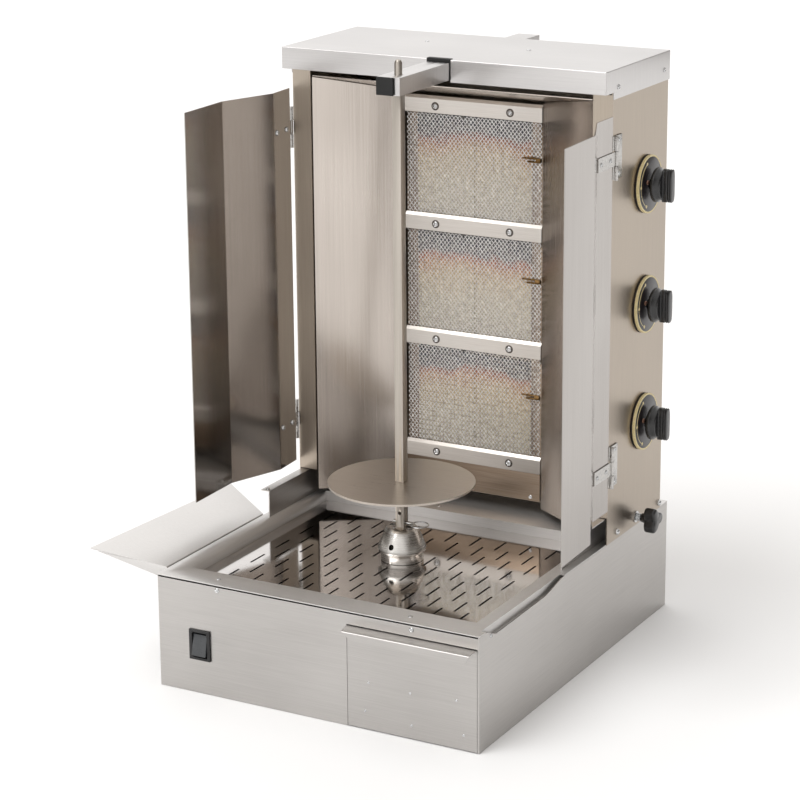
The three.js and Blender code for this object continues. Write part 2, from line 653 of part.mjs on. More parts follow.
function buildArm() {
  const insideX = ARM_X - ARM_WALL;
  const z0 = ARM_Z0 + ARM_WALL;
  const z1 = ARM_Z1 - ARM_WALL;
  const tube = cut(
    block(-ARM_X, ARM_X, ARM_FRONT, ARM_REAR, ARM_Z0, ARM_Z1),
    block(-insideX, insideX, ARM_FRONT + ARM_WALL, ARM_REAR + PAST, z0, z1),
    block(-insideX, ARM_WINDOW, ARM_FRONT - PAST, ARM_FRONT + ARM_WALL + PAST, z0, z1),
    rodZ(PIN_RADIUS + 0.4, ARM_Z0 - PAST, ARM_Z1 + PAST, 0, SPIT_Y, 20),
  );
  add('top_arm', tube, 'steel');

  const right = ARM_WINDOW - GAP;
  const plug = block(-insideX + GAP, right, ARM_FRONT - 1, ARM_FRONT + 14, z0 + GAP, z1 - GAP);
  const face = block(-ARM_X, right, ARM_FRONT - 4, ARM_FRONT - GAP, ARM_Z0, ARM_Z1);
  add('arm_end_cap', join(plug, face), 'black');
}

buildBase();
buildSwitch();
buildDrawer();
buildScoop();
buildColumnPanels();
buildFirebox();
buildHood();
buildBurners();
buildGas();
buildDoors();
buildSpit();
buildArm();

export default oven;
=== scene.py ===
import json
import math

import bmesh
import bpy
import numpy as np
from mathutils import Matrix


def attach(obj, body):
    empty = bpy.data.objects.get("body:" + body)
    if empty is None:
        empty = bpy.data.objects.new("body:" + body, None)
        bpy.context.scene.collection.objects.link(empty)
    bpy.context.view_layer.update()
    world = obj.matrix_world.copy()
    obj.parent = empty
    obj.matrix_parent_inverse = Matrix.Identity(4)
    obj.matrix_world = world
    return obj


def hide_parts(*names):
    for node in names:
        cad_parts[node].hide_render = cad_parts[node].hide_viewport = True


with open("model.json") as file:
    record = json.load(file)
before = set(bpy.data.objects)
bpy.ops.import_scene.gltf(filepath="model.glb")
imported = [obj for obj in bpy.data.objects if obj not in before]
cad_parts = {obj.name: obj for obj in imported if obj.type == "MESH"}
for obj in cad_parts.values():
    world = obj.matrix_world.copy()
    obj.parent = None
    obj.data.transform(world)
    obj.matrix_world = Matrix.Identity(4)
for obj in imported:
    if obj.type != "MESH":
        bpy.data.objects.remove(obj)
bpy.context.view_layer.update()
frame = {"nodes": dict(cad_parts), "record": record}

mm = 0.001
scene = bpy.context.scene
bodyOf = {node: body for body, nodes in frame["record"]["behaviour"]["bodies"].items() for node in nodes}
print("frame loaded:", len(frame["nodes"]), "nodes")


# An sRGB hex code as linear red, green, blue and alpha.
def colour(code):
    parts = [int(code[i:i + 2], 16) / 255 for i in (0, 2, 4)]
    return (*[p / 12.92 if p <= 0.04045 else ((p + 0.055) / 1.055) ** 2.4 for p in parts], 1.0)


# Adds a node; an input is a number, a colour, a vector or another node's output.
def addNode(tree, kind, inputs=None, **settings):
    node = tree.nodes.new(kind)
    for key, value in settings.items():
        setattr(node, key, value)
    return feed(tree, node, inputs or {})


# Sets each input to a value, or links it to another node's output.
def feed(tree, node, inputs):
    for key, value in inputs.items():
        if isinstance(value, bpy.types.NodeSocket):
            tree.links.new(value, node.inputs[key])
        else:
            node.inputs[key].default_value = value
    return node


# A material with one Principled shader that feeds its output.
def newMaterial(name):
    material = bpy.data.materials.new(name)
    material.use_nodes = True
    tree = material.node_tree
    tree.nodes.clear()
    shader = addNode(tree, "ShaderNodeBsdfPrincipled")
    addNode(tree, "ShaderNodeOutputMaterial", {"Surface": shader.outputs[0]})
    return material, tree, shader


# A colour ramp over a factor, from stops of (place, hex code).
def ramp(tree, factor, stops):
    node = addNode(tree, "ShaderNodeValToRGB", {"Fac": factor})
    points = node.color_ramp.elements
    while len(points) < len(stops):
        points.new(0.5)
    for point, (place, code) in zip(points, stops):
        point.position = place
        point.color = colour(code)
    return node.outputs["Color"]


# A value carried from one range to another.
def spread(tree, value, low, high, fromLow=0.0, fromHigh=1.0):
    inputs = {"Value": value, "From Min": fromLow, "From Max": fromHigh, "To Min": low, "To Max": high}
    return addNode(tree, "ShaderNodeMapRange", inputs).outputs["Result"]


# One step of arithmetic.
def sums(tree, operation, a, b):
    return addNode(tree, "ShaderNodeMath", {0: a, 1: b}, operation=operation).outputs[0]


# Rolled stainless sheet: long scratches side by side. A noise is read at the place divided by
# (length, width, width), so it runs on along the grain and changes quickly across it. Where the
# face looks along the grain, the sheet was folded there, and the scratches run along foldedGrain.
# Slow hand marks are added to the scratches, and the sum drives the tone and the roughness.
scratches = {"share": 0.6, "low": 0.25, "high": 0.75, "detail": 3.0, "grit": 0.7, "depth": 0.0004}
smudges = {"share": 0.4, "low": 0.3, "high": 0.7, "detail": 2.0}
foldFacing = 0.6


def sheetSteel(name, look):
    material, tree, shader = newMaterial(name)
    place = addNode(tree, "ShaderNodeTexCoord")
    along = {"X": (1 / look["length"], 1 / look["width"], 1 / look["width"]),
             "Y": (1 / look["width"], 1 / look["length"], 1 / look["width"]),
             "Z": (1 / look["width"], 1 / look["width"], 1 / look["length"])}
    mapped = [addNode(tree, "ShaderNodeVectorMath", {0: place.outputs["Object"],
                                                     1: tuple(s / mm for s in along[axis])},
                      operation="MULTIPLY").outputs[0]
              for axis in (look["grain"], look["foldedGrain"])]
    normal = addNode(tree, "ShaderNodeSeparateXYZ", {0: place.outputs["Normal"]})
    facing = sums(tree, "ABSOLUTE", normal.outputs[look["grain"]], 0.0)
    folded = sums(tree, "GREATER_THAN", facing, foldFacing)
    coords = addNode(tree, "ShaderNodeMix", {0: folded, 4: mapped[0], 5: mapped[1]}, data_type="VECTOR")
    streaks = addNode(tree, "ShaderNodeTexNoise", {
        "Vector": coords.outputs[1], "Scale": 1.0,
        "Detail": scratches["detail"], "Roughness": scratches["grit"]})
    marks = addNode(tree, "ShaderNodeTexNoise", {
        "Vector": place.outputs["Object"], "Scale": look["smudgeScale"], "Detail": smudges["detail"]})
    shares = [spread(tree, noise.outputs["Fac"], 0.0, kind["share"], kind["low"], kind["high"])
              for noise, kind in ((streaks, scratches), (marks, smudges))]
    both = sums(tree, "ADD", *shares)
    bump = addNode(tree, "ShaderNodeBump", {"Height": streaks.outputs["Fac"], "Strength": look["bump"],
                                            "Distance": scratches["depth"]})
    feed(tree, shader, {
        "Base Color": ramp(tree, both, [(0.1, look["dark"]), (0.9, look["light"])]),
        "Roughness": spread(tree, both, look["smooth"], look["rough"]),
        "Normal": bump.outputs[0],
        "Metallic": 1.0,
    })
    return material


# Satin sheet spreads what it mirrors into broad soft patches along its grain.
satin = {"length": 90, "width": 0.9, "smudgeScale": 5.0, "bump": 0.10, "smooth": 0.27, "rough": 0.40,
         "dark": "b2afac", "light": "c6c3c0", "grain": "X", "foldedGrain": "Y"}
satinUpright = {**satin, "grain": "Z", "foldedGrain": "X"}
wrapSteel = sheetSteel("stainlessSatinWrapped", satin)
hoodSteel = sheetSteel("stainlessSatinHood", {
    **satin, "foldedGrain": "Z", "dark": "c3c1c0", "light": "d3d1d0"})
uprightSteel = sheetSteel("stainlessSatinUpright", {**satinUpright, "dark": "a69b8f", "light": "b8ad9f"})

# Bright annealed sheet, and the tray's polish, mirror the room with clear shapes.
reflectorSteel = sheetSteel("stainlessBrightReflector", {
    **satinUpright, "length": 260, "width": 2.2, "bump": 0.05, "smooth": 0.20, "rough": 0.30,
    "dark": "bdb4ac", "light": "d3cac2"})
doorSteel = sheetSteel("stainlessBrightDoor", {
    **satinUpright, "length": 260, "width": 2.0, "bump": 0.02, "smooth": 0.09, "rough": 0.15,
    "dark": "a8a39f", "light": "b8b4b0"})
traySteel = sheetSteel("stainlessMirrorTray", {
    **satin, "length": 120, "bump": 0.006, "smooth": 0.05, "rough": 0.11,
    "dark": "c6c1be", "light": "d8d6d4"})

# The pressed basin is dull, and its colour is made paler as painted light for the light that falls on its
# deck from above; the scoop shares it. The sheet beside the burners is browned by their heat.
basinSteelPaintedLight = sheetSteel("stainlessSatinBasinPaintedLight", {
    **satin, "smooth": 0.46, "rough": 0.58, "dark": "cfcdcb", "light": "e0dedc"})
hotSteel = sheetSteel("stainlessHeatTinted", {
    **satin, "width": 1.6, "smooth": 0.3, "rough": 0.45, "dark": "7d6a58", "light": "a8998a"})

# Ground bar and disc: shorter marks, worn and a little warm in tone.
discSteel = sheetSteel("stainlessGroundDisc", {
    **satin, "length": 60, "width": 1.4, "smooth": 0.26, "rough": 0.38, "dark": "b5aca2", "light": "cdc5bb"})
barSteel = sheetSteel("stainlessSatinBar", {**satin, "length": 60, "dark": "c2bbb4", "light": "dad5cf"})
spitSteel = sheetSteel("stainlessGroundBar", {
    **satin, "length": 60, "grain": "Z", "dark": "a8a198", "light": "bdb6ad"})


# Turned or plated metal with no grain direction: fine cloudy polish marks.
cloud = {"low": 0.3, "high": 0.7, "bump": 0.05, "depth": 0.0003, "detail": 4.0}


def plainMetal(name, dark, light, smooth, rough, grit):
    material, tree, shader = newMaterial(name)
    place = addNode(tree, "ShaderNodeTexCoord").outputs["Object"]
    marks = addNode(tree, "ShaderNodeTexNoise", {"Vector": place, "Scale": grit,
                                                 "Detail": cloud["detail"]}).outputs["Fac"]
    bump = addNode(tree, "ShaderNodeBump", {"Height": marks, "Strength": cloud["bump"],
                                            "Distance": cloud["depth"]})
    feed(tree, shader, {
        "Base Color": ramp(tree, marks, [(cloud["low"], dark), (cloud["high"], light)]),
        "Roughness": spread(tree, marks, smooth, rough, cloud["low"], cloud["high"]),
        "Normal": bump.outputs[0],
        "Metallic": 1.0,
    })
    return material


zincPlate = plainMetal("zincPlatedScrew", "b9babb", "dcdddd", 0.16, 0.28, 900.0)
brassTurned = plainMetal("brassTurned", "9c7636", "c39a52", 0.2, 0.36, 500.0)
darkBrass = plainMetal("brassHeatDarkened", "4b3a26", "8a6b42", 0.3, 0.5, 500.0)
copperPlate = plainMetal("copperPlatedScrew", "8f6b58", "d0a48c", 0.25, 0.4, 700.0)
hotPlate = plainMetal("zincPlateHeatDarkened", "4a4541", "6b645e", 0.35, 0.5, 700.0)
castPaint = plainMetal("castIronGreyPaint", "3c3e40", "55585a", 0.5, 0.65, 300.0)
meshSteel = plainMetal("expandedMetalStainless", "b4b1af", "f0eeec", 0.2, 0.34, 140.0)
hingeSteel = plainMetal("stainlessStampedHinge", "b2b0ad", "cbc9c6", 0.24, 0.36, 260.0)

# Nickel-plated hub: turning marks are rings, so the noise is read at the height only, with marks
# 0.4 mm apart, and they draw every highlight out sideways.
nickel = {"dark": "c6c2bd", "light": "dedcd8", "smooth": 0.2, "rough": 0.34, "bump": 0.03, "depth": 0.0002,
          "ringScale": (8.0, 8.0, 2500.0), "detail": 3.0}


def turnedHub(name, look):
    material, tree, shader = newMaterial(name)
    place = addNode(tree, "ShaderNodeTexCoord")
    rings = addNode(tree, "ShaderNodeVectorMath", {0: place.outputs["Object"], 1: look["ringScale"]},
                    operation="MULTIPLY")
    marks = addNode(tree, "ShaderNodeTexNoise", {"Vector": rings.outputs[0], "Scale": 1.0,
                                                 "Detail": look["detail"]}).outputs["Fac"]
    bump = addNode(tree, "ShaderNodeBump", {"Height": marks, "Strength": look["bump"],
                                            "Distance": look["depth"]})
    feed(tree, shader, {
        "Base Color": ramp(tree, marks, [(cloud["low"], look["dark"]), (cloud["high"], look["light"])]),
        "Roughness": spread(tree, marks, look["smooth"], look["rough"], cloud["low"], cloud["high"]),
        "Normal": bump.outputs[0],
        "Metallic": 1.0,
    })
    return material


hubNickel = turnedHub("nickelTurnedHub", nickel)

# Moulded plastic or rubber: a dull pebble of fine noise in the mould's surface.
pebble = {"detail": 5.0, "grit": 0.6, "bump": 0.12, "depth": 0.0002, "smoother": 0.06, "rougher": 0.08,
          "ior": 1.5, "coatRoughness": 0.12}


def moulded(name, dark, light, rough, grain, coat=0.0):
    material, tree, shader = newMaterial(name)
    place = addNode(tree, "ShaderNodeTexCoord").outputs["Object"]
    noise = addNode(tree, "ShaderNodeTexNoise", {"Vector": place, "Scale": grain, "Detail": pebble["detail"],
                                                 "Roughness": pebble["grit"]})
    grains = noise.outputs["Fac"]
    bump = addNode(tree, "ShaderNodeBump", {"Height": grains, "Strength": pebble["bump"],
                                            "Distance": pebble["depth"]})
    feed(tree, shader, {
        "Base Color": ramp(tree, grains, [(cloud["low"], dark), (cloud["high"], light)]),
        "Roughness": spread(tree, grains, rough - pebble["smoother"], rough + pebble["rougher"],
                            cloud["low"], cloud["high"]),
        "Normal": bump.outputs[0],
        "IOR": pebble["ior"],
        "Coat Weight": coat,
        "Coat Roughness": pebble["coatRoughness"],
    })
    return material


phenolic = moulded("phenolicMouldedBlack", "0a0a0b", "141416", 0.30, 700.0, coat=0.4)
rubberTrim = moulded("rubberExtrudedBlack", "070707", "121212", 0.62, 1200.0)
switchBlack = moulded("nylonMouldedBlack", "101011", "1b1b1c", 0.42, 900.0)
rockerGrey = moulded("polycarbonateRockerGrey", "2f3133", "3f4245", 0.32, 900.0, coat=0.3)
glandNylon = moulded("nylonGlandBlack", "121212", "1e1e1e", 0.5, 800.0)
dialBlack = moulded("anodisedDialBlack", "1d191b", "2a2426", 0.34, 600.0, coat=0.2)
dialCream = moulded("screenPrintCream", "d8c489", "eddfb2", 0.45, 400.0)
markGrey = moulded("printedMarkPale", "b9bcc0", "d3d6da", 0.5, 400.0)

# Pierced ceramic burner plate: cream fired clay, scorched orange towards the top of every plate and darker
# grey at its top. The height within a plate is the fraction of (z - bottom) / pitch; the scorch is that
# fraction plus a slow noise and a rise towards the sides, read through a ramp. The pierced holes are a
# lattice of sin(x) * sin(z) with a wave of 2 pi over 4 mm, and painted shade darkens them towards a dark
# brown.
burners = {"middle": 505.7, "pitch": 176.4, "halfWidth": 112.6, "frontY": 160.0}
ceramic = {"cloudScale": 26.0, "cloudShift": 0.05, "speckScale": 240.0, "speckShare": 0.3, "speckFrom": 0.35,
           "speckTo": 0.7, "speck": "f0e7d2",
           "sideFrom": 0.05, "sideTo": 0.094, "sideShift": 0.03, "roughness": 0.85,
           # painted shade in the pierced holes: where the lattice peaks, the colour is mixed by holeShade
           # towards the dark brown hole colour
           "holeWave": 1570.8, "holeFrom": 0.35, "holeTo": 0.7, "holeShade": 0.45, "hole": "3a2a20",
           "holeBump": 0.4, "holeDepth": 0.001,
           "scorch": [(0.0, "cdc4b4"), (0.35, "dccfb4"), (0.58, "dcc49a"), (0.68, "d3a273"),
                      (0.735, "b86f4e"), (0.79, "6a6163"), (0.88, "474a52"), (1.0, "3a3c44")]}


def scorchedCeramic(name, bottom, pitch, look):
    material, tree, shader = newMaterial(name)
    place = addNode(tree, "ShaderNodeTexCoord").outputs["Object"]
    axes = addNode(tree, "ShaderNodeSeparateXYZ", {0: place}).outputs
    height = sums(tree, "FRACT", sums(tree, "DIVIDE", sums(tree, "SUBTRACT", axes["Z"], bottom), pitch), 0.0)
    slow = addNode(tree, "ShaderNodeTexNoise", {"Vector": place, "Scale": look["cloudScale"], "Detail": 4.0})
    fine = addNode(tree, "ShaderNodeTexNoise", {"Vector": place, "Scale": look["speckScale"], "Detail": 2.0})
    drift = spread(tree, slow.outputs["Fac"], -look["cloudShift"], look["cloudShift"],
                   cloud["low"], cloud["high"])
    toSide = spread(tree, sums(tree, "ABSOLUTE", axes["X"], 0.0), 0.0, look["sideShift"],
                    look["sideFrom"], look["sideTo"])
    scorch = ramp(tree, sums(tree, "ADD", sums(tree, "ADD", height, drift), toSide), look["scorch"])
    waves = [sums(tree, "SINE", sums(tree, "MULTIPLY", axes[axis], look["holeWave"]), 0.0)
             for axis in ("X", "Z")]
    holes = spread(tree, sums(tree, "MULTIPLY", *waves), 0.0, 1.0, look["holeFrom"], look["holeTo"])
    specks = spread(tree, fine.outputs["Fac"], 0.0, look["speckShare"], look["speckFrom"], look["speckTo"])
    mottled = addNode(tree, "ShaderNodeMix", {0: specks, 6: scorch, 7: colour(look["speck"])},
                      data_type="RGBA")
    # painted shade in the pierced holes: the colour is mixed towards a dark brown where the lattice peaks
    shade = sums(tree, "MULTIPLY", holes, look["holeShade"])
    paintedHoleShade = addNode(tree, "ShaderNodeMix", {0: shade, 6: mottled.outputs[2], 7: colour(look["hole"])},
                      data_type="RGBA")
    bump = addNode(tree, "ShaderNodeBump", {"Height": sums(tree, "MULTIPLY", holes, -1.0),
                                            "Strength": look["holeBump"], "Distance": look["holeDepth"]})
    feed(tree, shader, {"Base Color": paintedHoleShade.outputs[2], "Roughness": look["roughness"],
                        "Normal": bump.outputs[0]})
    return material


ceramicPlate = scorchedCeramic("cordieriteFiredCeramic", (burners["middle"] - 1.5 * burners["pitch"]) * mm,
                               burners["pitch"] * mm, ceramic)
print("materials made:", len(bpy.data.materials))


# The functions from here on work in millimetres, and makePiece turns them to metres. Its limits:
# corners within doubles are merged, shorter slivers dissolved, faces within flatAngle joined, and
# turns past sharpAngle are edges. The distances are in metres.
weld = {"doubles": 1e-6, "slivers": 1e-7, "flatAngle": 0.5, "sharpAngle": 35}


# Quads between neighbours of a grid of rows and columns, numbered row by row.
def gridFaces(rows, columns, closeRows=False, closeColumns=False):
    r, c = np.meshgrid(np.arange(rows if closeRows else rows - 1),
                       np.arange(columns if closeColumns else columns - 1), indexing="ij")
    nextR, nextC = (r + 1) % rows, (c + 1) % columns
    quads = [r * columns + c, r * columns + nextC, nextR * columns + nextC, nextR * columns + c]
    return np.stack(quads, -1).reshape(-1, 4)


# The same faces for many copies whose vertices follow each other.
def repeatFaces(faces, copies, size):
    return (faces[None] + np.arange(copies)[:, None, None] * size).reshape(-1, faces.shape[1])


# A piece from vertices in millimetres: doubles are merged, then its faces are turned outwards.
def makePiece(name, vertices, faces, material, body, replaced=(), limit=weld["sharpAngle"]):
    mesh = bpy.data.meshes.new(name)
    mesh.from_pydata((np.asarray(vertices).reshape(-1, 3) * mm).tolist(), [], [list(f) for f in faces])
    shell = bmesh.new()
    shell.from_mesh(mesh)
    bmesh.ops.remove_doubles(shell, verts=shell.verts, dist=weld["doubles"])
    bmesh.ops.dissolve_degenerate(shell, dist=weld["slivers"], edges=shell.edges)
    bmesh.ops.recalc_face_normals(shell, faces=shell.faces)
    shell.to_mesh(mesh)
    shell.free()
    return placePiece(name, mesh, material, body, replaced, limit)


# Shades a mesh, sharp where it turns by more than the limit, gives it its material, puts it on its body and
# hides the parts it replaces.
def placePiece(name, mesh, material, body, replaced, limit):
    mesh.shade_smooth()
    if limit:
        mesh.set_sharp_from_angle(angle=math.radians(limit))
    mesh.materials.clear()
    mesh.materials.append(material)
    piece = bpy.data.objects.new(name, mesh)
    scene.collection.objects.link(piece)
    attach(piece, body)
    if replaced:
        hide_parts(*replaced)
    return piece


# Rounds every sharp edge, or the edges that carry a weight.
def roundEdges(piece, width, segments=2, weighted=False):
    bevel = piece.modifiers.new("roundedEdges", "BEVEL")
    bevel.width = width * mm
    bevel.segments = segments
    bevel.limit_method = "WEIGHT" if weighted else "ANGLE"
    bevel.angle_limit = math.radians(weld["sharpAngle"])
    bevel.harden_normals = True
    return piece


# A CAD piece with its triangles joined into flat faces and its edges rounded: edges where
# isBend(middle, direction) holds are sheet bends, the others are cut edges. An edge of 0 leaves
# every edge sharp, as suits a thin sheet with holes.
def finishedCopy(name, node, material, edge=0.35, bend=0.0, isBend=None):
    mesh = frame["nodes"][node].data.copy()
    mesh.name = name
    shell = bmesh.new()
    shell.from_mesh(mesh)
    bmesh.ops.remove_doubles(shell, verts=shell.verts, dist=weld["doubles"])
    bmesh.ops.dissolve_limit(shell, angle_limit=math.radians(weld["flatAngle"]), verts=shell.verts,
                             edges=shell.edges)
    if isBend:
        weight = shell.edges.layers.float.new("bevel_weight_edge")
        for side in shell.edges:
            if side.calc_face_angle(0.0) > math.radians(weld["sharpAngle"]):
                a, b = (v.co / mm for v in side.verts)
                side[weight] = 1.0 if isBend((a + b) / 2, (b - a).normalized()) else edge / bend
    shell.to_mesh(mesh)
    shell.free()
    piece = placePiece(name, mesh, material, bodyOf[node], [node],
                       None if edge else weld["sharpAngle"])
    if isBend:
        return roundEdges(piece, bend, 3, weighted=True)
    return roundEdges(piece, edge) if edge else piece


# A polyline with each corner replaced by an arc: reach = radius / tan(half the corner's angle).
def filletPath(points, radius, steps=7):
    points = np.asarray(points, float)
    path = [points[:1]]
    for before, corner, after in zip(points[:-2], points[1:-1], points[2:]):
        u = (before - corner) / np.linalg.norm(before - corner)
        v = (after - corner) / np.linalg.norm(after - corner)
        half = math.acos(np.clip(u @ v, -1, 1)) / 2
        middle = corner + (u + v) / np.linalg.norm(u + v) * radius / math.sin(half)
        a, b = corner + u * radius / math.tan(half) - middle, corner + v * radius / math.tan(half) - middle
        turn = math.pi - 2 * half
        t = np.linspace(0, 1, steps)[:, None]
        path.append(middle + (np.sin((1 - t) * turn) * a + np.sin(t * turn) * b) / math.sin(turn))
    path.append(points[-1:])
    return np.vstack(path)


# A sheet's closed outline: the path, and back along its copy moved to the left by the thickness.
def sheetOutline(path, thickness):
    steps = np.diff(path, axis=0)
    sides = np.stack([-steps[:, 1], steps[:, 0]], 1) / np.linalg.norm(steps, axis=1)[:, None]
    first, second = np.vstack([sides[:1], sides]), np.vstack([sides, sides[-1:]])
    mean = (first + second) / np.linalg.norm(first + second, axis=1)[:, None]
    reach = thickness / (mean * first).sum(1, keepdims=True)
    return np.vstack([path, (path + mean * reach)[::-1]])


# An outline carried straight along one axis, with an end face at both ends.
def prism(outline, axis, low, high):
    rings = [np.insert(outline, "xyz".index(axis), level, axis=1) for level in (low, high)]
    n = len(outline)
    faces = [*gridFaces(2, n, closeColumns=True).tolist(), list(range(n)), list(range(n, 2 * n))]
    return np.vstack(rings), faces


# A profile of (radius, height) points turned about an axis through a point: the place is
# centre + radius * (cos a * u + sin a * v) + height * w, with w along the axis.
def turned(profile, centre, axis, sides=48):
    profile = np.asarray(profile, float)
    w = np.eye(3)["xyz".index(axis)]
    u, v = np.roll(w, 1), np.roll(w, 2)
    a = np.arange(sides) * 2 * np.pi / sides
    ring = np.cos(a)[:, None] * u + np.sin(a)[:, None] * v
    points = np.asarray(centre) + profile[:, :1, None] * ring + (profile[:, 1:] * w)[:, None, :]
    return points.reshape(-1, 3), gridFaces(len(profile), sides, closeColumns=True)


# Parts of (points, faces) as one, with each part's faces numbered on from the last.
def joined(parts):
    points, faces, count = [], [], 0
    for some, sides in parts:
        points.append(some)
        faces += [[int(k) + count for k in face] for face in sides]
        count += len(some)
    return np.vstack(points), faces


# Screw heads standing on a surface, in units of their radius and height: a rim, and a dome over
# it of sqrt(1 - r^2), less a cross recess where min(|x|, |y|) is under slotHalf. One grid of
# radius and angle is moved to every place and turned to its normal. offAxis is any direction
# that no screw points in, and only sets where the cross starts.
screwHead = {"sides": 24, "rings": 8, "firstRing": 0.12, "seat": -0.12, "rim": 0.2,
             "slotHalf": 0.16, "slotReach": 0.62, "slotFloor": 0.5, "slotDepth": 0.35, "sharpAngle": 40}
offAxis = [0.31, 0.52, 0.79]


def screwHeads(name, body, places, normal, radius, height, cross=True, material=zincPlate):
    places = np.asarray(places, float)
    w = np.asarray(normal, float) / np.linalg.norm(normal)
    u = np.cross(w, offAxis)
    u /= np.linalg.norm(u)
    v = np.cross(w, u)
    sides, seat, rim = screwHead["sides"], screwHead["seat"], screwHead["rim"]
    dome = np.linspace(screwHead["firstRing"], np.pi / 2, screwHead["rings"])
    r = np.concatenate([[0.0, 1.0, 1.0], np.cos(dome)])
    lift = np.concatenate([[seat, seat, rim], rim + (1 - rim) * np.sin(dome)])
    a = np.arange(sides) * np.pi / (sides / 2)
    x, y = r[:, None] * np.cos(a), r[:, None] * np.sin(a)
    z = np.broadcast_to(lift[:, None], x.shape).copy()
    if cross:
        slotted = np.minimum(abs(x), abs(y)) < screwHead["slotHalf"]
        onTop = (r[:, None] < screwHead["slotReach"]) & (lift[:, None] > screwHead["slotFloor"])
        z -= screwHead["slotDepth"] * (slotted & onTop)
    head = (x[..., None] * u + y[..., None] * v) * radius + z[..., None] * w * height
    points = places[:, None, None] + head[None]
    faces = repeatFaces(gridFaces(len(r), sides, closeColumns=True), len(places), head.shape[0] * sides)
    return makePiece(name, points, faces, material, body, limit=screwHead["sharpAngle"])


# Base: one sheet wrapped round the sides, bent at its upright corners.
base = {"halfWidth": 254, "halfDepth": 311, "top": 167, "bend": 2.0, "edge": 0.25, "near": 0.5,
        "upright": 0.9}


def baseBend(middle, direction):
    atSide = abs(middle.x) > base["halfWidth"] - base["near"]
    atEnd = abs(middle.y) > base["halfDepth"] - base["near"]
    return abs(direction.z) > base["upright"] and atSide and atEnd


finishedCopy("baseSheet", "base_shell", wrapSteel, base["edge"], base["bend"], baseBend)
finishedCopy("baseBottom", "base_floor", wrapSteel, base["edge"])
finishedCopy("basinFrame", "top_frame", basinSteelPaintedLight, 0.0)
finishedCopy("slottedTray", "slotted_plate", traySteel, 0.0)
finishedCopy("gearbox", "motor_gearbox", castPaint, 1.5)
finishedCopy("cableGland", "cable_gland", glandNylon, 0.5)
finishedCopy("drawerPan", "drawer_box", wrapSteel, 0.3)
for name, places, normal, radius, height in [
        ("frontScrews", [(x, -base["halfDepth"], z) for x, z in ((-154.6, 159), (152.7, 158))],
         (0, -1, 0), 3.6, 1.9),
        ("deckScrews", [(-165, -290, base["top"]), (140, -290, base["top"])], (0, 0, 1), 3.2, 1.2),
        ("sideScrewRight", [(base["halfWidth"], -276.5, 157)], (1, 0, 0), 3.4, 1.6),
        ("sideScrewLeft", [(-base["halfWidth"], -240, 120)], (-1, 0, 0), 3.4, 1.0),
        ("basinScrew", [(-39, 127.5, base["top"])], (0, 0, 1), 2.6, 1.0)]:
    screwHeads(name, "base", places, normal, radius, height)

# Drawer front: one sheet from the foot up to the top, out to the lip and down, bent along X. The
# lip's ends are cut on the slant, so they are drawn in as its front drop goes down.
drawer = {"left": 53, "right": 251, "face": -311, "foot": 1, "top": 147, "lip": 24, "drop": 12,
          "sheet": 1.5, "bend": 1.8, "edge": 0.25,
          "nearLip": 4, "lipInset": 4, "leftSlant": 16, "rightSlant": 5,
          "rivets": [(86, 69), (150, 66.5), (220, 70), (152, 20), (231, 22), (80, 27)]}


def drawerFront():
    front, top, lip = drawer["face"], drawer["top"], drawer["face"] - drawer["lip"]
    # the path is the rear and upper side, and its copy lies in front of it and under the shelf
    rear = front + drawer["sheet"]
    panel = [(rear, drawer["foot"]), (rear, top), (lip, top), (lip, top - drawer["drop"])]
    outline = sheetOutline(filletPath(panel, drawer["bend"]), drawer["sheet"])
    points, faces = prism(outline, "x", drawer["left"], drawer["right"])
    fallen = np.clip((top - points[:, 2]) / drawer["drop"], 0, 1) * (points[:, 1] < lip + drawer["nearLip"])
    atLeft = points[:, 0] < (drawer["left"] + drawer["right"]) / 2
    inset = np.where(atLeft, drawer["lipInset"] + drawer["leftSlant"] * fallen,
                     -drawer["rightSlant"] * fallen)
    points[:, 0] += inset * (points[:, 1] < front - 1)
    node = "drawer_front"
    face = makePiece("drawerFace", points, faces, wrapSteel, "drawer", [node])
    return roundEdges(face, drawer["edge"])


drawerFront()
drawerRivets = [(x, drawer["face"], z) for x, z in drawer["rivets"]]
screwHeads("drawerRivets", "drawer", drawerRivets, (0, -1, 0), 2.0, 0.7, cross=False)

# Rocker switch and meat scoop: the modelled shapes with softened edges.
finishedCopy("switchFrame", "switch_bezel", switchBlack, 0.7)
finishedCopy("switchKey", "switch_rocker", rockerGrey, 0.6)
print("base and drawer made")

# The scoop shares the basin steel, whose colour is made paler as painted light.
finishedCopy("scoopSheet", "meat_scoop", basinSteelPaintedLight, 0.3)

# Hood: a folded lid, bent round its top and at its upright corners.
hood = {"halfWidth": 259, "front": 57, "rear": 277, "top": 859, "cornersOver": 835, "edge": 0.25, "bend": 2.0}


def hoodBend(middle, direction):
    sideways = abs(middle.x) - hood["halfWidth"]
    lengthways = max(middle.y - hood["rear"], hood["front"] - middle.y)
    aroundTop = middle.z > hood["top"] - base["near"] and max(sideways, lengthways) > -1
    atCorner = min(sideways, lengthways) > -base["near"] and middle.z > hood["cornersOver"]
    return aroundTop or abs(direction.z) > base["upright"] and atCorner


